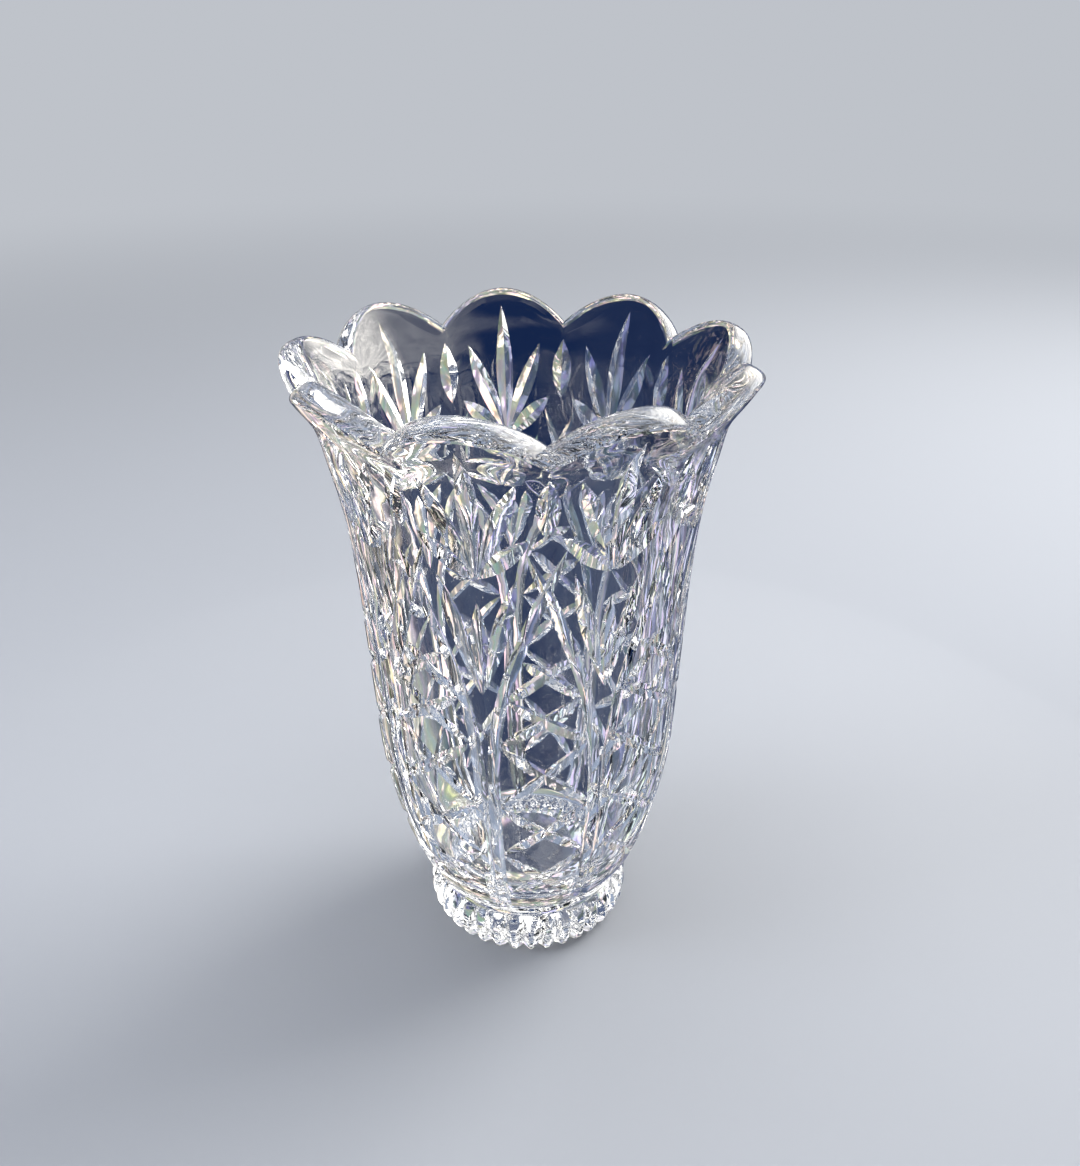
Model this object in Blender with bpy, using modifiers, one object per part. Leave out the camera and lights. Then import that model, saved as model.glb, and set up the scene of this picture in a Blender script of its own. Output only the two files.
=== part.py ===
"""Cut crystal vase: one turned glass body with a scalloped rim, covered in V-groove wheel cuts.

Units are metres, +Z up. The origin is the centre of the flat underside of the foot. A rim notch
faces -Y. The pattern repeats nine times round the axis; each repeat is a pointed-arch panel of
stacked crosses under a rim notch, flanked by leaf fans that stand under the rim lobes.

Angles are in degrees from -Y towards +X, which is to the right when seen from -Y.
"""

import math

import bmesh
import bpy
from mathutils import Vector

MM = 0.001

# Overall
HEIGHT = 250.0 * MM
REPEATS = 9
PITCH = 360.0 / REPEATS
SEGMENTS = 5 * REPEATS  # sides of the turned body
COLUMN = 360.0 / SEGMENTS  # angle between neighbouring columns of the turned body
FLOOR = 22.0 * MM  # thickness of the solid base
SHARP_ANGLE = math.radians(32)  # edges sharper than this are not shaded smooth

# Scalloped rim
NOTCH_DEPTH = 11.8 * MM  # how far the rim notches drop below the lobes
LOBE_ROUNDNESS = 1.9
SCALLOP_START = 180.0 * MM  # the wall below this height is the same all the way round

# Rounded lip at the end of the wall
LIP_HALF_WIDTH = 5.0 * MM
LIP_RISE = 2.9 * MM
LIP_TILT = math.radians(26.0)  # it slopes down towards the outside
LIP_SQUARENESS = 2.5  # 2 is an ellipse, more is flatter on top
LIP_NARROWS = 1.2 * MM  # the wall is this much thinner in the notches
LIP_STEPS = 4
LIP_MIDDLE = (80.2 * MM, HEIGHT - 3.65 * MM)  # radius and height

# Outside of the turned body: height and radius in millimetres
OUTLINE = (
    (-6.0, 33.5),
    (0.0, 39.3),
    (4.0, 42.1),
    (8.0, 42.8),
    (12.0, 42.6),
    (16.0, 40.6),
    (20.8, 37.4),
    (29.8, 44.6),
    (41.7, 49.8),
    (59.6, 54.8),
    (84.4, 59.2),
    (111.2, 60.9),
    (139.1, 62.2),
    (168.9, 63.8),
    (193.7, 66.5),
    (213.5, 70.7),
    (230.4, 75.5),
    (238.4, 81.0),
    (244.2, 84.7),
    (252.0, 90.8),
)
# Inside of the wall, from the knee above the solid base up to the lip: same columns
INLINE = (
    (59.6, 45.8),
    (84.4, 50.3),
    (111.2, 52.2),
    (139.1, 53.7),
    (168.9, 55.4),
    (193.7, 58.0),
    (213.5, 61.9),
    (230.4, 65.4),
    (238.4, 69.0),
    (248.5, 75.0),
    (256.0, 79.6),
)
KNEE = INLINE[0][0]

# Heights of the mesh rows in millimetres, up the outside and down the inside
OUTSIDE_ROWS = (
    0.0, 5.0, 11.0, 16.0, 21.0, 25.0, 32.0, 44.0, 63.0,
    92.0, 130.0, 168.0, 191.0, 207.0, 220.0, 230.0, 238.0,
)
INSIDE_ROWS = (240.0, 224.0, 206.0, 184.0, 140.0, 90.0, KNEE, 42.0, 32.0, 26.0)

# Rounding of the inside between the knee and the floor
BOWL_CLOSING = 0.86  # part of the squared knee radius lost by the floor
BOWL_POWER = 2.5  # higher keeps the wall upright for longer
BOWL_TAPER = 0.25  # extra inward slope just below the knee

# Last ring before the centre of the floor
FLOOR_RING_RISE = 0.6 * MM
FLOOR_RING_SAMPLE = 1.2 * MM  # its radius is taken from the inside this far above the floor
FLOOR_RING_SCALE = 0.86

# Wheels: half width and depth of the V
LEAF = (3.7 * MM, 2.3 * MM)
SIDE_LEAF = (3.5 * MM, 2.2 * MM)
LOZENGE = (4.2 * MM, 2.3 * MM)
LOWER_LEAF = (3.2 * MM, 2.0 * MM)
RIB = (2.4 * MM, 1.5 * MM)
LATTICE = (2.5 * MM, 1.5 * MM)
FLUTE = (3.0 * MM, 2.3 * MM)

# The left ribs and arms are this much shallower, so that crossing keels pass clear of each other
SECOND_CUT = 0.9
CLEAR = 1.6 * MM  # how far a cutter stands out of the glass
INDEX_TURN = 0.06  # turn of all cuts, so that no keel runs along an edge of the turned body

# Leaves: angle from the lobe or notch and height in mm of the start and of the end,
# wheel, and part of the length at which the cut is deepest
LOBE_LEAVES = (
    ((0.0, 191.5), (0.0, 240.6), LEAF, 0.56),
    ((0.0, 144.0), (0.0, 181.6), LOWER_LEAF, 0.56),
)
NOTCH_LEAVES = (((0.0, 206.6), (0.0, 229.0), LOZENGE, 0.5),)
SIDE_LEAVES = (
    ((0.4, 192.0), (12.3, 228.0), SIDE_LEAF, 0.56),
    ((0.4, 144.5), (11.8, 191.5), LOWER_LEAF, 0.58),
)
LOW_LEAVES = (((0.8, 191.0), (15.7, 207.1), SIDE_LEAF, 0.52),)

# Ends of the cross arms: angle from the panel centre and height in millimetres.
# An arm runs from each row, on one side of the panel, to the next row on the other side.
CROSS_ENDS = ((7.2, 158.6), (12.2, 141.7), (15.2, 121.7), (16.2, 93.0), (16.0, 67.2), (15.4, 39.4))

# Arch rib from its leaf tip past the crossing down to the foot: same columns
RIB_STATIONS = (
    (-5.7, 202.7),
    (-3.2, 194.4),
    (0.0, 186.0),
    (6.2, 167.7),
    (12.2, 148.0),
    (15.6, 131.1),
    (17.1, 116.2),
    (17.5, 93.3),
    (17.5, 58.6),
    (17.5, 31.8),
    (17.5, 21.2),
)

# Foot flutes
FLUTES = 36
FLUTE_BOTTOM = -5.0 * MM
FLUTE_TOP = 18.0 * MM

# Parts of a cut's length between which it has its full depth; it runs out beyond them
ARM_FULL = (0.3, 0.7)
RIB_FULL = (0.13, 0.93)
FLUTE_FULL = (0.0, 0.6)

# Parts of a cut's length at which its cutter has a section
LEAF_STEPS = (-0.06, 0.22, 0.56, 0.84, 1.05)
ARM_STEPS = (-0.04, 0.5, 1.04)
RIB_STEPS = (-0.02, 0.06, 0.15, 0.25, 0.34, 0.43, 0.52, 0.75, 0.93, 1.01)
FLUTE_STEPS = (0.0, 0.45, 0.75, 1.05)

# Distances over which directions are measured
SLOPE_REACH = 0.5 * MM  # up and down the outline
NORMAL_REACH = 1.0 * MM  # out of the surface
TANGENT_REACH = 0.01  # along a cut, as a part of its length


def collection(name):
    made = bpy.data.collections.new(name)
    bpy.context.scene.collection.children.link(made)
    return made


# Profile of the glass


def hermite(stations, x):
    """Smooth curve through (x, y) stations, with slopes from the neighbours on either side."""
    last = len(stations) - 1
    i = 0
    while i < last - 1 and x > stations[i + 1][0]:
        i += 1

    def chord(j):
        """Slope and length in x of the span after station j."""
        (x0, y0), (x1, y1) = stations[j], stations[j + 1]
        return (y1 - y0) / (x1 - x0), x1 - x0

    def slope(j):
        if j == 0:
            return chord(0)[0]
        if j == last:
            return chord(last - 1)[0]
        (slope_in, span_in), (slope_out, span_out) = chord(j - 1), chord(j)
        if slope_in * slope_out <= 0:
            return 0.0
        return (slope_in * span_out + slope_out * span_in) / (span_in + span_out)

    (x0, y0), (x1, y1) = stations[i], stations[i + 1]
    span = x1 - x0
    t = (x - x0) / span
    return (
        (2 * t**3 - 3 * t**2 + 1) * y0
        + (t**3 - 2 * t**2 + t) * (slope(i) * span)
        + (-2 * t**3 + 3 * t**2) * y1
        + (t**3 - t**2) * (slope(i + 1) * span)
    )


def outside(z):
    """Outer radius at height z."""
    return hermite(OUTLINE, z / MM) * MM


def inside(z):
    """Inner radius at height z: the wall's inside, rounded in to the floor below the knee."""
    knee = KNEE * MM
    if z >= knee:
        return hermite(INLINE, z / MM) * MM
    knee_radius = INLINE[0][1] * MM
    down = (knee - z) / (knee - FLOOR)
    rounded = knee_radius * math.sqrt(max(0.0, 1.0 - BOWL_CLOSING * down**BOWL_POWER))
    return rounded - BOWL_TAPER * (knee - z) * (1.0 - down)


def lip():
    """Section of the rounded lip, from its outer edge over the top to its inner edge."""
    tilt_cos, tilt_sin = math.cos(LIP_TILT), math.sin(LIP_TILT)
    power = 2.0 / LIP_SQUARENESS
    points = []
    for i in range(LIP_STEPS + 1):
        turn = math.pi * i / LIP_STEPS
        across, up = math.cos(turn), math.sin(turn)
        x = LIP_HALF_WIDTH * math.copysign(abs(across) ** power, across)
        y = LIP_RISE * abs(up) ** power
        radius = LIP_MIDDLE[0] + x * tilt_cos + y * tilt_sin
        z = LIP_MIDDLE[1] - x * tilt_sin + y * tilt_cos
        points.append((radius, z))
    return points


def section():
    """Half section as (radius, height), from the floor up and over the lip to the underside."""
    points = [(0.0, 0.0)]
    points += [(outside(z * MM), z * MM) for z in OUTSIDE_ROWS]
    points += lip()
    points += [(inside(z * MM), z * MM) for z in INSIDE_ROWS]
    ring_radius = inside(FLOOR + FLOOR_RING_SAMPLE) * FLOOR_RING_SCALE
    points += [(ring_radius, FLOOR + FLOOR_RING_RISE), (0.0, FLOOR)]
    # the Screw wants the outer side to run from top to bottom
    points.reverse()
    return points


# Turned body


def turn(points, coll):
    """Mesh of the half section turned once round the axis by a Screw."""
    mesh = bpy.data.meshes.new("section")
    line = bmesh.new()
    verts = [line.verts.new((radius, 0.0, z)) for radius, z in points]
    for pair in zip(verts, verts[1:]):
        line.edges.new(pair)
    line.to_mesh(mesh)
    line.free()

    turned = bpy.data.objects.new("turned", mesh)
    coll.objects.link(turned)
    screw = turned.modifiers.new("turn", "SCREW")
    screw.steps = screw.render_steps = SEGMENTS
    screw.use_merge_vertices = True
    screw.merge_threshold = 0.00001
    screw.use_smooth_shade = True
    bpy.context.view_layer.update()
    evaluated = turned.evaluated_get(bpy.context.evaluated_depsgraph_get())
    solid = bpy.data.meshes.new_from_object(evaluated)
    bpy.data.objects.remove(turned, do_unlink=True)
    return solid


def drop(angle):
    """How far the rim lies below full height at an angle from a notch."""
    part = (angle / PITCH) % 1.0
    return NOTCH_DEPTH * abs(2.0 * part - 1.0) ** LOBE_ROUNDNESS


def scallop(mesh):
    """Turn the columns so that one runs up through every notch, then draw the rim down there."""
    shift = (90.0 / COLUMN) % 1.0
    lip_edge = lip()[0][1]
    glass = bmesh.new()
    glass.from_mesh(mesh)
    for vert in glass.verts:
        x, y, z = vert.co
        radius = math.hypot(x, y)
        if radius < 1e-7:  # on the axis
            continue
        angle = round(math.degrees(math.atan2(x, -y)) / COLUMN - shift) * COLUMN
        if z > SCALLOP_START:
            ease = min(1.0, (z - SCALLOP_START) / (lip_edge - SCALLOP_START))
            ease = ease * ease * (3 - 2 * ease)
            fall = drop(angle)
            lower = z - fall * ease
            across = min(1.0, (outside(z) - radius) / (outside(z) - inside(z)))
            narrowing = LIP_NARROWS * across * ease * ease * fall / NOTCH_DEPTH
            radius += outside(lower) - outside(z) + narrowing
            z = lower
        turned = math.radians(angle)
        vert.co = (radius * math.sin(turned), -radius * math.cos(turned), z)
    glass.to_mesh(mesh)
    glass.free()


# Wheel cuts


def on_surface(angle, z, out):
    """Point standing `out` off the outside, square to it."""
    slope = (outside(z + SLOPE_REACH) - outside(z - SLOPE_REACH)) / (2 * SLOPE_REACH)
    length = math.hypot(1.0, slope)
    turned = math.radians(angle)
    radius = outside(z) + out * (1.0 / length)
    return Vector((radius * math.sin(turned), -radius * math.cos(turned), z + out * (-slope / length)))


def depth_share(t, full):
    """Part of the full depth reached at t, negative where the wheel has left the glass."""
    start, end = full
    if t < start:
        return 1.0 - ((start - t) / start) ** 2
    if t > end:
        return 1.0 - ((t - end) / (1.0 - end)) ** 2
    return 1.0


def groove(cuts, path, wheel, full, steps):
    """Loft one V-section cutter along a path on the surface.

    path(t) gives (angle, height) for t from 0 to 1. The V keeps its angle, so the cut narrows as
    it gets shallower and ends in a point.
    """
    half_width, depth = wheel
    spread = half_width / depth
    rings = []
    for t in steps:
        angle, z = path(t)
        before = on_surface(*path(t - TANGENT_REACH), 0.0)
        after = on_surface(*path(t + TANGENT_REACH), 0.0)
        along = (after - before).normalized()
        foot = on_surface(angle, z, 0.0)
        normal = (on_surface(angle, z, NORMAL_REACH) - foot).normalized()
        side = along.cross(normal).normalized()
        sunk = depth * depth_share(t, full)
        wide = spread * (sunk + CLEAR)
        rings.append(
            (
                cuts.verts.new(foot - normal * sunk),
                cuts.verts.new(foot + normal * CLEAR + side * wide),
                cuts.verts.new(foot + normal * CLEAR - side * wide),
            )
        )
    faces = [cuts.faces.new(rings[0]), cuts.faces.new(tuple(reversed(rings[-1])))]
    for ring, following in zip(rings, rings[1:]):
        for i in range(3):
            j = (i + 1) % 3
            faces.append(cuts.faces.new((ring[i], following[i], following[j], ring[j])))
    bmesh.ops.recalc_face_normals(cuts, faces=faces)


def straight(start, end):
    """Path between two (angle, height) points."""

    def path(t):
        return (start[0] + (end[0] - start[0]) * t, start[1] + (end[1] - start[1]) * t)

    return path


def second(wheel, way):
    """The wheel for a crossing cut: shallower on the left."""
    return wheel if way > 0 else (wheel[0] * SECOND_CUT, wheel[1] * SECOND_CUT)


# Each draw function adds the cuts of one repeat, whose notch stands at angle `at`.
# way is 1 for cuts that lean right and -1 for their mirror images.


def draw_leaves(cuts, at, way, leaves):
    for (angle0, z0), (angle1, z1), wheel, peak in leaves:
        path = straight((at + way * angle0, z0 * MM), (at + way * angle1, z1 * MM))
        groove(cuts, path, wheel, (peak, peak), LEAF_STEPS)


def draw_lobe_leaves(cuts, at, way, leaves):
    draw_leaves(cuts, at + PITCH / 2, way, leaves)


def draw_upright_leaves(cuts, at):
    draw_lobe_leaves(cuts, at, 1, LOBE_LEAVES)
    draw_leaves(cuts, at, 1, NOTCH_LEAVES)


def draw_rib(cuts, at, way):
    # heights are negated so that they increase along the path
    stations = [(-(z * MM), angle * way) for angle, z in RIB_STATIONS]
    top, bottom = -stations[0][0], -stations[-1][0]

    def path(t):
        z = top + (bottom - top) * t
        return (at + hermite(stations, -z), z)

    groove(cuts, path, second(RIB, way), RIB_FULL, RIB_STEPS)


def draw_arms(cuts, at, way):
    for (angle0, z0), (angle1, z1) in zip(CROSS_ENDS, CROSS_ENDS[1:]):
        path = straight((at - way * angle0, z0 * MM), (at + way * angle1, z1 * MM))
        groove(cuts, path, second(LATTICE, way), ARM_FULL, ARM_STEPS)


def draw_flutes(cuts, at, first):
    """Every other flute, because neighbouring wheels overlap outside the glass."""
    per_repeat = FLUTES // REPEATS
    for i in range(first, per_repeat, 2):
        angle = at + i * PITCH / per_repeat
        path = straight((angle, FLUTE_BOTTOM), (angle, FLUTE_TOP))
        groove(cuts, path, FLUTE, FLUTE_FULL, FLUTE_STEPS)


def cutter(coll, name, draw, *settings):
    """One object holding the same cut in all repeats."""
    mesh = bpy.data.meshes.new(name)
    cuts = bmesh.new()
    for k in range(REPEATS):
        draw(cuts, k * PITCH + INDEX_TURN, *settings)
    cuts.to_mesh(mesh)
    cuts.free()
    obj = bpy.data.objects.new(name, mesh)
    obj.display_type = "WIRE"
    obj.hide_render = True
    coll.objects.link(obj)
    return obj


def all_cutters(coll):
    """The cutters in the order in which they cut."""
    mirrored = (
        ("side_leaves", draw_lobe_leaves, SIDE_LEAVES),
        ("low_leaves", draw_lobe_leaves, LOW_LEAVES),
        ("ribs", draw_rib),
        ("arms", draw_arms),
    )
    made = [cutter(coll, "cut_upright_leaves", draw_upright_leaves)]
    for name, draw, *table in mirrored:
        for side, way in (("right", 1), ("left", -1)):
            made.append(cutter(coll, f"cut_{name}_{side}", draw, way, *table))
    for first, parity in enumerate(("even", "odd")):
        made.append(cutter(coll, f"cut_foot_flutes_{parity}", draw_flutes, first))
    return made


# Assembly


def crystal():
    """Clear, polished lead glass with a faint blue tint."""
    mat = bpy.data.materials.new("crystal")
    mat.use_nodes = True
    inputs = mat.node_tree.nodes["Principled BSDF"].inputs
    inputs["Base Color"].default_value = (0.93, 0.95, 0.97, 1.0)
    inputs["Roughness"].default_value = 0.03
    inputs["Metallic"].default_value = 0.0
    inputs["IOR"].default_value = 1.545
    inputs["Transmission Weight"].default_value = 1.0
    return mat


def vase_body(coll):
    """The uncut glass."""
    mesh = turn(section(), coll)
    scallop(mesh)
    mesh.name = "vase_body"
    mesh.materials.append(crystal())
    body = bpy.data.objects.new("vase_body", mesh)
    coll.objects.link(body)
    return body


def main():
    for obj in list(bpy.data.objects):
        bpy.data.objects.remove(obj, do_unlink=True)

    vase = collection("cut_crystal_vase")
    wheel_cuts = collection("wheel_cuts")
    body = vase_body(vase)
    for obj in all_cutters(wheel_cuts):
        cut = body.modifiers.new(obj.name, "BOOLEAN")
        cut.operation = "DIFFERENCE"
        cut.solver = "EXACT"
        cut.object = obj
    body.data.shade_smooth()
    body.data.set_sharp_from_angle(angle=SHARP_ANGLE)


main()
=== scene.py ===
"""Looks for the cut crystal vase: the fine glass surface, its material, the floor, lights and camera."""

import math

import bmesh
import bpy
import numpy as np
from mathutils import Matrix, Vector


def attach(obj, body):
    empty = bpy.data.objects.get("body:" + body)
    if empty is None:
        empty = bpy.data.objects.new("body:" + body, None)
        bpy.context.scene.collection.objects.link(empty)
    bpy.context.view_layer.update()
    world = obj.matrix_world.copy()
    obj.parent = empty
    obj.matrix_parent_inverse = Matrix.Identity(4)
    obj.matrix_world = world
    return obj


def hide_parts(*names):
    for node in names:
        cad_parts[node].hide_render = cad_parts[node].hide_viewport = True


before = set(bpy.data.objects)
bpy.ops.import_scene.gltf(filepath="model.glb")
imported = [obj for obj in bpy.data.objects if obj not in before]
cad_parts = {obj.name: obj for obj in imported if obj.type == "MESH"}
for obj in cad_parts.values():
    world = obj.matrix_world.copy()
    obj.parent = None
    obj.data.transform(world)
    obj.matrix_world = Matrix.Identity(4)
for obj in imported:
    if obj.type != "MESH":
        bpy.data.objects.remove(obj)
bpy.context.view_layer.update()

MM = 0.001

# ---------------------------------------------------------------------------------------------
# Shape. The same design as the CAD part, at a finer grain.

HEIGHT = 250.0
REPEATS = 9
PITCH = 360.0 / REPEATS
COLUMNS = 24 * REPEATS
NOTCH_DEPTH = 11.8
LOBE_ROUNDNESS = 1.9
SCALLOP_START = 180.0
FLOOR = 22.0
INDEX = 0.06

# the lip: half width, half height, slope down towards the outside, squareness, and how much
# narrower it is in the notches
LIP = (5.0, 2.9)
LIP_TILT = math.radians(26.0)
LIP_SQUARE = 2.5
LIP_NARROWS = 1.2
LIP_STEPS = 14
LIP_MIDDLE = (80.2, HEIGHT - 3.65)

OUTLINE = (
    (-6.0, 33.5),
    (0.0, 39.3),
    (4.0, 42.1),
    (8.0, 42.8),
    (12.0, 42.6),
    (16.0, 40.6),
    (20.8, 37.4),
    (29.8, 44.6),
    (41.7, 49.8),
    (59.6, 54.8),
    (84.4, 59.2),
    (111.2, 60.9),
    (139.1, 62.2),
    (168.9, 63.8),
    (193.7, 66.5),
    (213.5, 70.7),
    (230.4, 75.5),
    (238.4, 81.0),
    (244.2, 84.7),
    (252.0, 90.8),
)
INLINE = (
    (22.0, 0.0),
    (59.6, 45.8),
    (84.4, 50.3),
    (111.2, 52.2),
    (139.1, 53.7),
    (168.9, 55.4),
    (193.7, 58.0),
    (213.5, 61.9),
    (230.4, 65.4),
    (238.4, 69.0),
    (248.5, 75.0),
    (256.0, 79.6),
)

FLUTES = 36
FLUTE = (3.0, 2.3)
LEAF = (3.7, 2.3)
SIDE_LEAF = (3.5, 2.2)
LOZENGE = (4.2, 2.3)
LOWER_LEAF = (3.2, 2.0)
RIB = (2.4, 1.5)
LATTICE = (2.5, 1.5)
SECOND_CUT = 0.97
CLEAR = 1.2

CROSS_ENDS = ((7.2, 158.6), (12.2, 141.7), (15.2, 121.7), (16.2, 93.0), (16.0, 67.2), (15.4, 39.4))
RIB_PATH = (
    (-5.7, 202.7),
    (-3.2, 194.4),
    (0.0, 186.0),
    (6.2, 167.7),
    (12.2, 148.0),
    (15.6, 131.1),
    (17.1, 116.2),
    (17.5, 93.3),
    (17.5, 58.6),
    (17.5, 31.8),
    (17.5, 21.2),
)


def hermite(stations, x):
    n = len(stations)
    i = 0
    while i < n - 2 and x > stations[i + 1][0]:
        i += 1

    def chord(j):
        (xa, ya), (xb, yb) = stations[j], stations[j + 1]
        return (yb - ya) / (xb - xa), xb - xa

    def slope(j):
        if j == 0:
            return chord(0)[0]
        if j == n - 1:
            return chord(n - 2)[0]
        (s0, h0), (s1, h1) = chord(j - 1), chord(j)
        if s0 * s1 <= 0:
            return 0.0
        return (s0 * h1 + s1 * h0) / (h0 + h1)

    (x0, y0), (x1, y1) = stations[i], stations[i + 1]
    h = x1 - x0
    t = (x - x0) / h
    m0, m1 = slope(i) * h, slope(i + 1) * h
    return (
        (2 * t**3 - 3 * t**2 + 1) * y0
        + (t**3 - 2 * t**2 + t) * m0
        + (-2 * t**3 + 3 * t**2) * y1
        + (t**3 - t**2) * m1
    )


def outside(z):
    return hermite(OUTLINE, z)


def inside(z):
    knee = INLINE[1][0]
    if z >= knee:
        return hermite(INLINE[1:], z)
    f = (knee - z) / (knee - FLOOR)
    return INLINE[1][1] * math.sqrt(max(0.0, 1.0 - 0.86 * f**2.5)) - 0.25 * (knee - z) * (1.0 - f)


def drop(angle):
    phi = (angle / PITCH) % 1.0
    return NOTCH_DEPTH * abs(2.0 * phi - 1.0) ** LOBE_ROUNDNESS


def rows(start, end, pitch):
    n = max(1, round(abs(end - start) / pitch))
    return [start + (end - start) * i / n for i in range(n + 1)]


def lip():
    """The rounded end of the wall, from its outer edge over the top to its inner edge."""
    half, rise = LIP
    ca, sa = math.cos(LIP_TILT), math.sin(LIP_TILT)
    points = []
    for i in range(LIP_STEPS + 1):
        a = math.pi * i / LIP_STEPS
        c, s = math.cos(a), math.sin(a)
        x = half * math.copysign(abs(c) ** (2.0 / LIP_SQUARE), c)
        y = rise * abs(s) ** (2.0 / LIP_SQUARE)
        points.append((LIP_MIDDLE[0] + x * ca + y * sa, LIP_MIDDLE[1] - x * sa + y * ca))
    return points


def body_mesh():
    """The uncut glass as one closed turned surface, with the rim drawn down between the lobes."""
    section = [(outside(z), z, 0.0) for z in rows(0.0, 21.0, 1.5) + rows(21.0, 42.0, 2.1)[1:] + rows(42.0, 180.0, 3.0)[1:] + rows(180.0, 241.5, 2.4)[1:]]
    end = lip()
    section += [(r, z, i / LIP_STEPS) for i, (r, z) in enumerate(end)]
    section += [(inside(z), z, 1.0) for z in rows(246.5, 182.0, 2.4) + rows(182.0, 60.0, 4.0)[1:] + rows(60.0, 24.0, 2.0)[1:]]
    tail = inside(24.0)
    section += [(tail * math.cos(a), 24.0 - 2.0 * math.sin(a), 1.0) for a in (0.35, 0.7, 1.05, 1.3)]
    bm = bmesh.new()
    rings = []
    for c in range(COLUMNS):
        angle = 360.0 * c / COLUMNS
        sa, ca = math.sin(math.radians(angle)), math.cos(math.radians(angle))
        down = drop(angle)
        ring = []
        for r, z, across in section:
            if z > SCALLOP_START:
                s = min(1.0, (z - SCALLOP_START) / (end[0][1] - SCALLOP_START))
                s = s * s * (3 - 2 * s)
                lower = z - down * s
                r += outside(lower) - outside(z) + LIP_NARROWS * across * s * s * down / NOTCH_DEPTH
                z = lower
            ring.append(bm.verts.new((r * sa * MM, -r * ca * MM, z * MM)))
        rings.append(ring)
    under = bm.verts.new((0.0, 0.0, 0.0))
    well = bm.verts.new((0.0, 0.0, (24.0 - 2.0) * MM))
    for c in range(COLUMNS):
        a, b = rings[c], rings[(c + 1) % COLUMNS]
        bm.faces.new((under, b[0], a[0]))
        bm.faces.new((a[-1], b[-1], well))
        for i in range(len(section) - 1):
            bm.faces.new((a[i], b[i], b[i + 1], a[i + 1]))
    bmesh.ops.recalc_face_normals(bm, faces=bm.faces)
    mesh = bpy.data.meshes.new("vase_blank")
    bm.to_mesh(mesh)
    bm.free()
    return mesh


def on_surface(angle, z, out):
    slope = (outside(z + 0.5) - outside(z - 0.5))
    n_r, n_z = 1.0 / math.hypot(1.0, slope), -slope / math.hypot(1.0, slope)
    a = math.radians(angle)
    r = outside(z) + out * n_r
    return Vector((r * math.sin(a), -r * math.cos(a), z + out * n_z)) * MM


def groove(bm, path, size, share, start, end, count):
    """Loft one V-section wheel cut along a path on the surface."""
    half, depth = size
    slope = half / depth
    rings = []
    for i in range(count):
        # stations crowd towards the ends, where the cut comes to its point
        u = 0.5 - 0.5 * math.cos(math.pi * i / (count - 1))
        t = start + (end - start) * (0.35 * i / (count - 1) + 0.65 * u)
        angle, z = path(t)
        a0, z0 = path(t - 0.01)
        a1, z1 = path(t + 0.01)
        along = (on_surface(a1, z1, 0.0) - on_surface(a0, z0, 0.0)).normalized()
        foot = on_surface(angle, z, 0.0)
        normal = (on_surface(angle, z, 1.0) - foot).normalized()
        side = along.cross(normal).normalized()
        d = depth * share(t)
        wide = slope * (d + CLEAR) * MM
        rings.append(
            (
                bm.verts.new(foot - normal * d * MM),
                bm.verts.new(foot + normal * CLEAR * MM + side * wide),
                bm.verts.new(foot + normal * CLEAR * MM - side * wide),
            )
        )
    faces = [bm.faces.new(rings[0]), bm.faces.new(tuple(reversed(rings[-1])))]
    for a, b in zip(rings, rings[1:]):
        for i in range(3):
            j = (i + 1) % 3
            faces.append(bm.faces.new((a[i], b[i], b[j], a[j])))
    bmesh.ops.recalc_face_normals(bm, faces=faces)


def straight(start, end):
    def path(t):
        return (start[0] + (end[0] - start[0]) * t, start[1] + (end[1] - start[1]) * t)

    return path


def through(stations):
    by_height = sorted((-z, a) for a, z in stations)
    top, bottom = -by_height[0][0], -by_height[-1][0]

    def path(t):
        z = top + (bottom - top) * t
        return (hermite(by_height, -z), z)

    return path


def leaf_share(peak, sharp=2.0):
    def share(t):
        reach = peak if t < peak else 1.0 - peak
        return 1.0 - (abs(t - peak) / reach) ** sharp

    return share


def bar_share(end):
    def share(t):
        edge = min(t, 1.0 - t) / end
        return 1.0 if edge > 1.0 else 1.0 - (1.0 - edge) ** 2

    return share


def rib_share(t):
    if t < 0.13:
        return 1.0 - ((0.13 - t) / 0.13) ** 2
    if t > 0.93:
        return 1.0 - ((t - 0.93) / 0.07) ** 2
    return 1.0


def second(size, way):
    return size if way > 0 else (size[0] * SECOND_CUT, size[1] * SECOND_CUT)


def upright_leaves(bm, at):
    lobe = at + PITCH / 2
    groove(bm, straight((lobe, 191.5), (lobe, 240.6)), LEAF, leaf_share(0.56), -0.05, 1.04, 18)
    groove(bm, straight((lobe, 144.0), (lobe, 181.6)), LOWER_LEAF, leaf_share(0.56), -0.05, 1.04, 16)
    groove(bm, straight((at, 206.6), (at, 229.0)), LOZENGE, leaf_share(0.5), -0.05, 1.05, 14)


def side_leaves(way):
    def draw(bm, at):
        lobe = at + PITCH / 2
        groove(bm, straight((lobe + way * 0.4, 192.0), (lobe + way * 12.3, 228.0)), SIDE_LEAF, leaf_share(0.56), -0.05, 1.04, 16)
        groove(bm, straight((lobe + way * 0.4, 144.5), (lobe + way * 11.8, 191.5)), LOWER_LEAF, leaf_share(0.58), -0.05, 1.04, 16)

    return draw


def low_leaves(way):
    def draw(bm, at):
        lobe = at + PITCH / 2
        groove(bm, straight((lobe + way * 0.8, 191.0), (lobe + way * 15.7, 207.1)), SIDE_LEAF, leaf_share(0.52), -0.05, 1.05, 14)

    return draw


def ribs(way):
    path = through([(a * way, z) for a, z in RIB_PATH])

    def draw(bm, at):
        groove(bm, lambda t: (at + path(t)[0], path(t)[1]), second(RIB, way), rib_share, -0.02, 1.01, 46)

    return draw


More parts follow.
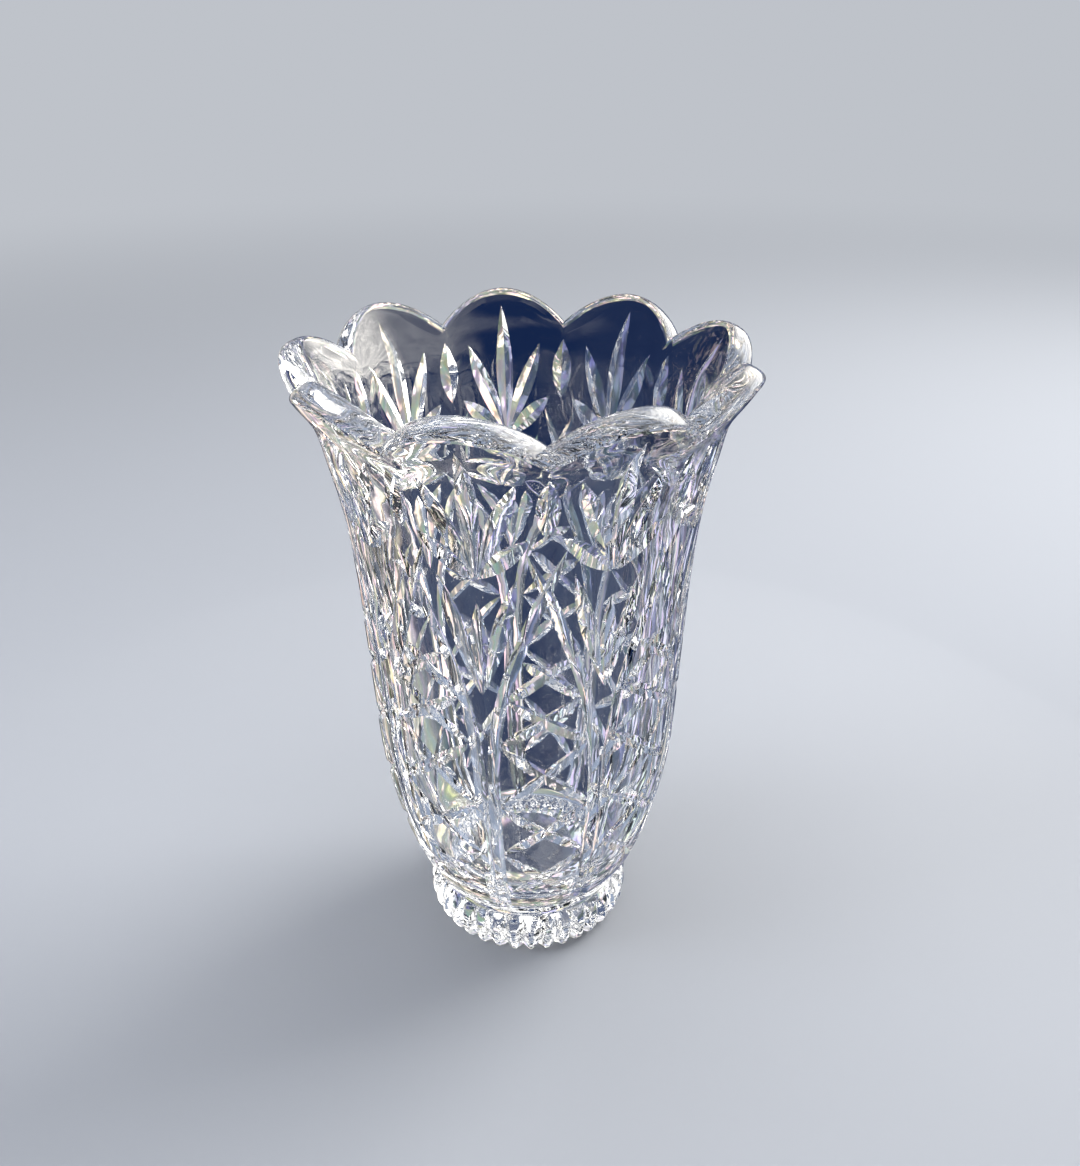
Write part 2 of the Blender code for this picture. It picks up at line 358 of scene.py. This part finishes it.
def arms(way):
    def draw(bm, at):
        for (a0, z0), (a1, z1) in zip(CROSS_ENDS, CROSS_ENDS[1:]):
            groove(bm, straight((at - way * a0, z0), (at + way * a1, z1)), second(LATTICE, way), bar_share(0.3), -0.03, 1.03, 14)

    return draw


def foot_flutes(first):
    def draw(bm, at):
        per = FLUTES // REPEATS
        for i in range(first, per, 2):
            a = at + i * PITCH / per
            groove(
                bm,
                straight((a, -5.0), (a, 18.0)),
                FLUTE,
                lambda t: 1.0 if t < 0.6 else 1.0 - ((t - 0.6) / 0.4) ** 2,
                0.0,
                1.05,
                12,
            )

    return draw


def cutter(name, draw):
    mesh = bpy.data.meshes.new(name)
    bm = bmesh.new()
    for k in range(REPEATS):
        draw(bm, k * PITCH + INDEX)
    bm.to_mesh(mesh)
    bm.free()
    obj = bpy.data.objects.new(name, mesh)
    bpy.context.scene.collection.objects.link(obj)
    obj.hide_render = True
    return obj


def cut_glass():
    """The blank with every wheel cut taken out of it, as one finished mesh."""
    obj = bpy.data.objects.new("crystal_vase", body_mesh())
    bpy.context.scene.collection.objects.link(obj)
    cutters = [
        cutter("cut_upright_leaves", upright_leaves),
        cutter("cut_side_leaves_right", side_leaves(1)),
        cutter("cut_side_leaves_left", side_leaves(-1)),
        cutter("cut_low_leaves_right", low_leaves(1)),
        cutter("cut_low_leaves_left", low_leaves(-1)),
        cutter("cut_ribs_right", ribs(1)),
        cutter("cut_ribs_left", ribs(-1)),
        cutter("cut_arms_right", arms(1)),
        cutter("cut_arms_left", arms(-1)),
        cutter("cut_foot_flutes_even", foot_flutes(0)),
        cutter("cut_foot_flutes_odd", foot_flutes(1)),
    ]
    for c in cutters:
        m = obj.modifiers.new(c.name, "BOOLEAN")
        m.operation = "DIFFERENCE"
        m.solver = "MANIFOLD"
        m.object = c
    bpy.context.view_layer.update()
    done = bpy.data.meshes.new_from_object(obj.evaluated_get(bpy.context.evaluated_depsgraph_get()))
    obj.modifiers.clear()
    obj.data = done
    for c in cutters:
        bpy.data.objects.remove(c, do_unlink=True)
    return obj


def profile_table():
    """Outer and inner radius and slope on a fine height grid, for the polished surface's normals."""
    z = np.linspace(-5.0, 255.0, 5201)
    out = np.array([outside(v) for v in z])
    inn = np.array([inside(v) if v >= 24.0 else 0.0 for v in z])
    return z, out, inn, np.gradient(out, z), np.gradient(inn, z)


def polish(obj):
    """Smooth shading on the turned surfaces, crisp arrises along every cut."""
    mesh = obj.data
    bm = bmesh.new()
    bm.from_mesh(mesh)
    bmesh.ops.remove_doubles(bm, verts=bm.verts, dist=0.000004)
    bmesh.ops.dissolve_degenerate(bm, edges=bm.edges, dist=0.000004)
    bmesh.ops.triangulate(bm, faces=[f for f in bm.faces if len(f.verts) > 4])
    bm.to_mesh(mesh)
    bm.free()
    mesh.shade_smooth()
    mesh.set_sharp_from_angle(angle=math.radians(13))
    corner = np.zeros(len(mesh.loops) * 3, np.float32)
    mesh.corner_normals.foreach_get("vector", corner)
    corner = corner.reshape(-1, 3)
    co = np.zeros(len(mesh.vertices) * 3, np.float32)
    mesh.vertices.foreach_get("co", co)
    co = co.reshape(-1, 3).astype(float) / MM
    r = np.hypot(co[:, 0], co[:, 1])
    zt, out, inn, d_out, d_in = profile_table()
    off_out = np.abs(r - np.interp(co[:, 2], zt, out))
    start = np.zeros(len(mesh.polygons), np.int32)
    total = np.zeros(len(mesh.polygons), np.int32)
    mesh.polygons.foreach_get("loop_start", start)
    mesh.polygons.foreach_get("loop_total", total)
    loop_vert = np.zeros(len(mesh.loops), np.int32)
    mesh.loops.foreach_get("vertex_index", loop_vert)
    on_out = off_out[loop_vert] < 0.05
    whole = np.logical_and.reduceat(on_out, start)
    # a cut's own facet can have all its corners on the surface, so its face must also point outwards
    face_n = np.zeros(len(mesh.polygons) * 3, np.float32)
    mesh.polygons.foreach_get("normal", face_n)
    face_n = face_n.reshape(-1, 3)
    slope = np.interp(co[:, 2], zt, d_out)
    n = np.stack([co[:, 0] / np.maximum(r, 1e-6), co[:, 1] / np.maximum(r, 1e-6), -slope], 1)
    n /= np.linalg.norm(n, axis=1)[:, None]
    face_of = np.repeat(np.arange(len(start)), total)
    agree = np.einsum("ij,ij->i", n[loop_vert], face_n[face_of]) > 0.985
    use = whole[face_of] & agree & (co[loop_vert, 2] > 1.0) & (co[loop_vert, 2] < 241.0)
    corner[use] = n[loop_vert][use]
    mesh.normals_split_custom_set([tuple(v) for v in corner])
    return obj


# ---------------------------------------------------------------------------------------------
# Looks

PAPER = (0.47, 0.49, 0.53, 1.0)
FAR = (0.52, 0.545, 0.59, 1.0)
AMBIENT = (0.20, 0.215, 0.25, 1.0)
PAINTED_CARD_DARK = (0.006, 0.016, 0.060, 1.0)  # painted shade: the dark tone flat glass shows, standing in for a dark card behind the vase
LIT = (1.45, 1.42, 1.24, 1.0)  # painted highlight tone for bent rays, towards the lit side
SHADED = (0.20, 0.25, 0.42, 1.0)  # painted shade tone for rays bent a little, towards the shaded side
SHADED_OUTER = (1.12, 1.28, 1.46, 1.0)  # painted highlight tone for rays bent further, towards the shaded side
# painted light and shade of a room that is not in the scene, seen only by the glass: dim below, bright above with a
# dark corner, a window reflection, and dark behind the camera
PAINTED_ROOM_DOWN = (0.31, 0.37, 0.49, 1.0)
PAINTED_ROOM_UP = (1.60, 1.58, 1.52, 1.0)
PAINTED_WINDOW = (7.5, 7.2, 6.6, 1.0)
PAINTED_DARK_CORNER = (0.08, 0.11, 0.20, 1.0)
PAINTED_DARK_BEHIND_CAMERA = (0.025, 0.050, 0.135, 1.0)
ARRIS = 0.0
TENT = 0.34
# bends over which the painted dark card gives way to the painted ring, and noise levels of the painted dark breaks
PAINTED_CARD_BEND = (0.08, 0.13)
PAINTED_BREAK_LEVELS = (0.455, 0.61)
IOR = 1.545
LIGHTS = (
    ("key_right", (1.15, 0.55, 0.95), (0, 0, 0.15), (0.9, 1.0), 24.0, (1.0, 0.985, 0.95)),
    ("side_left", (-1.2, -0.1, 0.7), (0, 0, 0.15), (0.6, 0.9), 6.0, (0.88, 0.92, 1.0)),
    ("overhead", (0.0, 0.1, 1.6), (0, 0, 0.1), (1.2, 1.2), 12.0, (1.0, 1.0, 1.0)),
)

# ---------------------------------------------------------------------------------------------
# Materials


def node(tree, kind, where=(0, 0), **values):
    made = tree.nodes.new(kind)
    made.location = where
    for k, v in values.items():
        setattr(made, k, v)
    return made


def crystal_material():
    """Polished lead crystal: clear, faintly cool, with a slow polishing wave; the arrises are softened only when ARRIS
    is above zero, and it is zero here.
    """
    mat = bpy.data.materials.new("lead_crystal")
    mat.use_nodes = True
    t = mat.node_tree
    t.nodes.clear()
    out = node(t, "ShaderNodeOutputMaterial", (900, 0))
    coord = node(t, "ShaderNodeTexCoord", (-900, 0))
    wave = node(t, "ShaderNodeTexNoise", (-700, 0))
    wave.inputs["Scale"].default_value = 60.0
    wave.inputs["Detail"].default_value = 2.0
    bump = node(t, "ShaderNodeBump", (-300, -200))
    bump.inputs["Strength"].default_value = 0.12
    bump.inputs["Distance"].default_value = 0.0004
    t.links.new(coord.outputs["Object"], wave.inputs["Vector"])
    t.links.new(wave.outputs["Fac"], bump.inputs["Height"])
    if ARRIS > 0:
        soft = node(t, "ShaderNodeBevel", (-500, -300))
        soft.samples = 6
        soft.inputs["Radius"].default_value = ARRIS
        t.links.new(soft.outputs["Normal"], bump.inputs["Normal"])

    def glass(ior, colour):
        made = node(t, "ShaderNodeBsdfPrincipled", (300, 0))
        made.inputs["Base Color"].default_value = colour
        made.inputs["Roughness"].default_value = 0.0
        made.inputs["IOR"].default_value = ior
        made.inputs["Transmission Weight"].default_value = 1.0
        t.links.new(bump.outputs["Normal"], made.inputs["Normal"])
        return made.outputs[0]

    t.links.new(glass(IOR, (0.985, 0.992, 1.0, 1.0)), out.inputs["Surface"])
    return mat


def maths(tree, operation, a, b=None, c=None):
    made = node(tree, "ShaderNodeMath", operation=operation)
    for i, v in enumerate((a, b, c)):
        if v is None:
            continue
        if isinstance(v, (int, float)):
            made.inputs[i].default_value = v
        else:
            tree.links.new(v, made.inputs[i])
    return made.outputs[0]


def ramp(tree, value, low, high):
    made = node(tree, "ShaderNodeMapRange", interpolation_type="SMOOTHSTEP")
    tree.links.new(value, made.inputs["Value"])
    made.inputs["From Min"].default_value = low
    made.inputs["From Max"].default_value = high
    return made.outputs["Result"]


def blend(tree, factor, a, b):
    made = node(tree, "ShaderNodeMix", data_type="RGBA")
    tree.links.new(factor, made.inputs["Factor"])
    for name, v in (("A", a), ("B", b)):
        if isinstance(v, tuple):
            made.inputs[name].default_value = v
        else:
            tree.links.new(v, made.inputs[name])
    return made.outputs["Result"]


def scaled(tree, a, b):
    made = node(tree, "ShaderNodeVectorMath", operation="MULTIPLY")
    for i, v in enumerate((a, b)):
        if isinstance(v, tuple):
            made.inputs[i].default_value = v[:3]
        else:
            tree.links.new(v, made.inputs[i])
    return made.outputs["Vector"]


def cloud(tree, vector, scale, detail):
    made = node(tree, "ShaderNodeTexNoise")
    made.inputs["Scale"].default_value = scale
    made.inputs["Detail"].default_value = detail
    made.inputs["Roughness"].default_value = 0.6
    tree.links.new(vector, made.inputs["Vector"])
    return made.outputs


def painted_dark_field(tree):
    """What the glass has to look at.

    Cut crystal is often shot with a dark card straight behind it, bright paper all round the card and a
    window to one side, so that flat glass stays clear and quiet and every cut that bends the view
    lights up. None of these is in the scene; they are painted as glowing colour that only the glass
    sees. Here the card is whatever the eye would see without the bend: painted light and shade are
    toned by how far, and to which side, the glass has turned the ray.
    """
    geo = node(tree, "ShaderNodeNewGeometry")
    flip = node(tree, "ShaderNodeVectorMath", operation="SCALE")
    flip.inputs["Scale"].default_value = -1.0
    tree.links.new(geo.outputs["Incoming"], flip.inputs[0])
    to_cam = node(tree, "ShaderNodeVectorTransform", vector_type="VECTOR", convert_from="WORLD", convert_to="CAMERA")
    tree.links.new(flip.outputs["Vector"], to_cam.inputs["Vector"])
    ray = node(tree, "ShaderNodeSeparateXYZ")
    tree.links.new(to_cam.outputs["Vector"], ray.inputs[0])
    cam = node(tree, "ShaderNodeCameraData")
    bend = node(tree, "ShaderNodeVectorMath", operation="SUBTRACT")
    tree.links.new(to_cam.outputs["Vector"], bend.inputs[0])
    tree.links.new(cam.outputs["View Vector"], bend.inputs[1])
    size = node(tree, "ShaderNodeVectorMath", operation="LENGTH")
    tree.links.new(bend.outputs["Vector"], size.inputs[0])
    size = size.outputs["Value"]
    unit = node(tree, "ShaderNodeVectorMath", operation="NORMALIZE")
    tree.links.new(bend.outputs["Vector"], unit.inputs[0])
    side = node(tree, "ShaderNodeVectorMath", operation="DOT_PRODUCT")
    side.inputs[1].default_value = (-0.86, -0.51, 0.0)
    tree.links.new(unit.outputs["Vector"], side.inputs[0])
    outer = ramp(tree, size, 0.25, 0.42)
    lit = ramp(tree, side.outputs["Value"], -0.4, 0.4)
    ring = blend(tree, lit, blend(tree, outer, SHADED, SHADED_OUTER), LIT)
    # the painted surround is calm near the painted card, so whole facets read, and broken up
    # further out by painted dark breaks, standing in for a real room
    painted_clutter_noise = cloud(tree, scaled(tree, to_cam.outputs["Vector"], (1.0, 0.4, 1.0)), 22.0, 1.5)
    least = maths(tree, "MULTIPLY_ADD", outer, -0.29, 0.30)
    broken = maths(tree, "MULTIPLY_ADD", lit, -0.055, painted_clutter_noise["Fac"])  # more painted dark breaks on the lit side
    level = maths(tree, "MULTIPLY_ADD", ramp(tree, broken, PAINTED_BREAK_LEVELS[0], PAINTED_BREAK_LEVELS[1]), maths(tree, "SUBTRACT", 1.0, least), least)
    # painted colour tint on the ring, for coloured glints in the facets
    tint = node(tree, "ShaderNodeVectorMath", operation="MULTIPLY_ADD")
    tree.links.new(painted_clutter_noise["Color"], tint.inputs[0])
    tint.inputs[1].default_value = (1.4, 1.0, 1.5)
    tint.inputs[2].default_value = (0.30, 0.50, 0.25)
    ring = scaled(tree, scaled(tree, ring, tint.outputs["Vector"]), level)
    # the rest is a painted room: dim below, pale ceiling with a dark corner on the left, a slatted window
    # reflection on the right, and painted dark behind the camera, where flat glass reflects to
    world_ray = node(tree, "ShaderNodeSeparateXYZ")
    tree.links.new(flip.outputs["Vector"], world_ray.inputs[0])
    rise = world_ray.outputs["Z"]
    soft = maths(tree, "MULTIPLY_ADD", cloud(tree, to_cam.outputs["Vector"], 7.0, 0.0)["Fac"], 0.8, 0.6)
    above = blend(tree, ramp(tree, ray.outputs["X"], -0.25, -0.60), PAINTED_ROOM_UP, PAINTED_DARK_CORNER)
    painted_room = scaled(tree, blend(tree, ramp(tree, rise, -0.05, 0.25), PAINTED_ROOM_DOWN, above), soft)
    far = blend(tree, ramp(tree, size, 0.5, 0.85), ring, painted_room)
    # painted window reflection with painted slats, for rays heading up and to the right
    painted_slats = maths(tree, "MULTIPLY_ADD", maths(tree, "SINE", maths(tree, "MULTIPLY", ray.outputs["Y"], 95.0)), 0.2, 0.8)
    in_painted_window = maths(tree, "MULTIPLY", ramp(tree, ray.outputs["X"], 0.25, 0.5), ramp(tree, rise, 0.04, 0.18))
    in_painted_window = maths(tree, "MULTIPLY", in_painted_window, ramp(tree, ray.outputs["Z"], -0.25, -0.08))
    far = blend(tree, in_painted_window, far, scaled(tree, PAINTED_WINDOW, painted_slats))
    # painted dark behind and below the camera, so flat glass reflects painted shade
    low_behind = maths(tree, "MULTIPLY", ramp(tree, ray.outputs["Z"], -0.30, -0.65), ramp(tree, rise, 0.05, -0.10))
    behind = maths(tree, "MAXIMUM", low_behind, ramp(tree, ray.outputs["Z"], -0.72, -0.88))
    far = blend(tree, behind, far, PAINTED_DARK_BEHIND_CAMERA)
    # unbent rays see the painted dark card, bent ones the painted ring, room and window
    return blend(tree, ramp(tree, size, PAINTED_CARD_BEND[0], PAINTED_CARD_BEND[1]), PAINTED_CARD_DARK, far)


def emission(tree, colour):
    made = node(tree, "ShaderNodeEmission")
    if isinstance(colour, tuple):
        made.inputs["Color"].default_value = colour
    else:
        tree.links.new(colour, made.inputs["Color"])
    return made.outputs[0]


def mixed(tree, factor, a, b):
    made = node(tree, "ShaderNodeMixShader")
    tree.links.new(factor, made.inputs[0])
    tree.links.new(a, made.inputs[1])
    tree.links.new(b, made.inputs[2])
    return made.outputs[0]


def stage_material(name, build):
    mat = bpy.data.materials.new(name)
    mat.use_nodes = True
    t = mat.node_tree
    t.nodes.clear()
    out = node(t, "ShaderNodeOutputMaterial")
    t.links.new(build(t), out.inputs["Surface"])
    return mat


def paper_floor(t):
    """Pale matt paper to the eye, running out into one even tone with no horizon."""
    paper = node(t, "ShaderNodeBsdfPrincipled")
    paper.inputs["Base Color"].default_value = PAPER
    paper.inputs["Roughness"].default_value = 0.8
    paper.inputs["Specular IOR Level"].default_value = 0.15
    coord = node(t, "ShaderNodeTexCoord")
    away = node(t, "ShaderNodeVectorMath", operation="LENGTH")
    t.links.new(coord.outputs["Object"], away.inputs[0])
    seen = mixed(t, ramp(t, away.outputs["Value"], 0.25, 2.0), paper.outputs[0], emission(t, FAR))
    path = node(t, "ShaderNodeLightPath")
    # to the glass the floor glows with the painted dark-field light and shade instead of its lit paper; to diffuse
    # rays it glows with the even ambient tone
    other = mixed(t, path.outputs["Is Diffuse Ray"], emission(t, painted_dark_field(t)), emission(t, AMBIENT))
    return mixed(t, path.outputs["Is Camera Ray"], other, seen)


def far_wall(t):
    path = node(t, "ShaderNodeLightPath")
    return mixed(t, path.outputs["Is Camera Ray"], emission(t, AMBIENT), emission(t, FAR))


vase = polish(cut_glass())
vase.data.name = "crystal_vase"
vase.data.materials.clear()
vase.data.materials.append(crystal_material())
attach(vase, "root")
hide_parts("vase_body")
print("vase faces", len(vase.data.polygons), "tris", sum(len(p.vertices) - 2 for p in vase.data.polygons))

# ---------------------------------------------------------------------------------------------
# Stage


def stage_mesh(name, rings_at):
    """A surface turned about the axis through (radius, height) stations."""
    mesh = bpy.data.meshes.new(name)
    bm = bmesh.new()
    sides = 96
    rings = [[bm.verts.new((r * math.cos(2 * math.pi * i / sides), r * math.sin(2 * math.pi * i / sides), z)) for i in range(sides)] for r, z in rings_at]
    for i in range(sides):
        j = (i + 1) % sides
        for a, b in zip(rings, rings[1:]):
            bm.faces.new((a[i], b[i], b[j], a[j]))
    bmesh.ops.remove_doubles(bm, verts=bm.verts, dist=0.0001)
    bm.to_mesh(mesh)
    bm.free()
    mesh.shade_smooth()
    obj = bpy.data.objects.new(name, mesh)
    bpy.context.scene.collection.objects.link(obj)
    return obj


floor = stage_mesh("floor", [(r, -0.0002) for r in (0.0, 0.3, 0.8, 1.6, 3.0, 6.2)])
floor.data.materials.append(stage_material("studio_floor", paper_floor))
backdrop = stage_mesh("backdrop", [(6.0 * math.cos(a), 6.0 * math.sin(a) - 0.05) for a in (math.pi / 2 * i / 24 for i in range(25))])
backdrop.data.materials.append(stage_material("studio_backdrop", far_wall))
# a close tent that only the glass sees, glowing with painted light and shade for it to show
tent = stage_mesh("backdrop_tent_painted_light", [(TENT * math.cos(a), 0.10 + TENT * math.sin(a)) for a in (math.radians(-20 + 110 * i / 32) for i in range(33))])
tent.data.materials.append(stage_material("painted_light_tent", lambda t: emission(t, painted_dark_field(t))))
tent.visible_camera = tent.visible_diffuse = tent.visible_shadow = False


def area_light(name, where, target, size, power, colour=(1, 1, 1)):
    data = bpy.data.lights.new(name, "AREA")
    data.shape = "RECTANGLE"
    data.size, data.size_y = size
    data.energy = power
    data.color = colour
    obj = bpy.data.objects.new(name, data)
    obj.location = where
    obj.rotation_mode = "QUATERNION"
    obj.rotation_quaternion = (Vector(target) - Vector(where)).to_track_quat("-Z", "Y")
    # the lamps are hidden from the glass, so the highlights in it come from the painted light instead
    obj.visible_camera = obj.visible_glossy = obj.visible_transmission = False
    bpy.context.scene.collection.objects.link(obj)
    return obj


for name, where, target, size, power, colour in LIGHTS:
    area_light(name, where, target, size, power, colour)

world = bpy.data.worlds.new("studio")
bpy.context.scene.world = world
world.use_nodes = True
wt = world.node_tree
bg = wt.nodes["Background"]
bg.inputs["Color"].default_value = FAR

# ---------------------------------------------------------------------------------------------
# Camera

FOCAL_PX, FRAME_W, FRAME_H = 1095.13, 1080.0, 1166.0
DISTANCE, CAM_HEIGHT = 0.37346, 0.35637
PITCH_DOWN, YAW, ROLL, TURN = 0.49514, -0.01581, 0.00557, math.radians(-5.94)

r0 = Vector((math.cos(YAW), math.sin(YAW), 0))
f0 = Vector((-math.sin(YAW), math.cos(YAW), 0))
fwd = f0 * math.cos(PITCH_DOWN) + Vector((0, 0, -math.sin(PITCH_DOWN)))
up = f0 * math.sin(PITCH_DOWN) + Vector((0, 0, math.cos(PITCH_DOWN)))
right = r0 * math.cos(ROLL) - up * math.sin(ROLL)
up = r0 * math.sin(ROLL) + up * math.cos(ROLL)
turn = Matrix.Rotation(TURN, 3, "Z")
right, up, fwd = turn @ right, turn @ up, turn @ fwd
cam_data = bpy.data.cameras.new("camera")
cam_data.sensor_width = 36.0
cam_data.sensor_fit = "AUTO"
cam_data.lens = 36.0 * FOCAL_PX / FRAME_H
cam_data.clip_start = 0.01
cam = bpy.data.objects.new("camera", cam_data)
bpy.context.scene.collection.objects.link(cam)
basis = Matrix((right, up, -fwd)).transposed()
cam.matrix_world = Matrix.Translation(turn @ Vector((0, -DISTANCE, CAM_HEIGHT))) @ basis.to_4x4()
bpy.context.scene.camera = cam

cycles = bpy.context.scene.cycles
cycles.max_bounces = 24
cycles.transmission_bounces = 24
cycles.glossy_bounces = 12
cycles.diffuse_bounces = 4
cycles.sample_clamp_indirect = 8.0
cycles.use_denoising = True
bpy.context.scene.view_settings.view_transform = "Standard"
bpy.context.scene.view_settings.look = "None"
